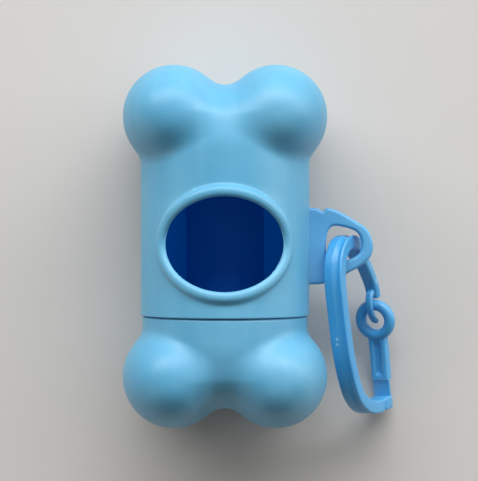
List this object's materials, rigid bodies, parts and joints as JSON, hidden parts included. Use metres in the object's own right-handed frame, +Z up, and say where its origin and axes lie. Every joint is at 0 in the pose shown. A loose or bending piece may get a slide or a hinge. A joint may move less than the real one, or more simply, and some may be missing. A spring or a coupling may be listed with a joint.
{
  "type": "dog waste bag dispenser",
  "caption": "Bone-shaped plastic holder for a roll of waste bags, with a screw cap, an oval window for pulling bags out, and a hinged clip on a side loop.",
  "frame": {"origin": "on the surface the holder lies on, straight below the middle of the barrel's axis", "axes": "+Y along the barrel from the screw cap to the closed end, +X towards the side loop and clip, +Z up out of the window"},
  "size_m": [0.066, 0.0858, 0.0417],
  "materials": {
    "body_plastic": "soft satin, moulded",
    "cap_plastic": "soft satin, moulded",
    "loop_plastic": "soft satin, moulded",
    "clip_plastic": "semi-gloss, moulded",
    "bag_film": "thin crinkled film",
    "core_board": "matt cardboard"
  },
  "bodies": {
    "barrel": {"barrel": "body_plastic", "side_loop": "loop_plastic"},
    "roll_core": {"roll_core": "core_board"},
    "cap": {"cap": "cap_plastic"},
    "bags": {"bag_roll": "bag_film", "bag_tail": "bag_film"},
    "clip": {"clip_frame": "clip_plastic", "clip_hinge_web": "clip_plastic"},
    "gate": {"clip_gate": "clip_plastic"}
  },
  "joints": [
    {"name": "cap_travel", "type": "slide", "parent": "barrel", "child": "roll_core", "axis": [0, -1, 0], "range_m": [0, 0.0052]},
    {"name": "cap_turn", "type": "hinge", "parent": "roll_core", "child": "cap", "pos_m": [0, -0.0165, 0.0205], "axis": [0, -1, 0], "range_deg": [0, 540]},
    {"name": "roll_spin", "type": "hinge", "parent": "roll_core", "child": "bags", "pos_m": [0, 0, 0.0135], "axis": [0, 1, 0], "continuous": true},
    {"name": "clip_swing", "type": "hinge", "parent": "barrel", "child": "clip", "pos_m": [0.0293, -0.0049, 0.0205], "axis": [-0.9653, 0.0796, -0.2488], "range_deg": [0, 95]},
    {"name": "gate_open", "type": "hinge", "parent": "clip", "child": "gate", "pos_m": [0.0388, -0.03512, 0.00258], "axis": [-0.8824, -0.0262, -0.4698], "range_deg": [0, 30], "stiffness_Nm_per_rad": 0.02, "deforming": ["clip_hinge_web"]}
  ],
  "couplings": [
    {"joint": "cap_travel", "follows": "cap_turn", "m_per_rad": 0.00054113}
  ]
}
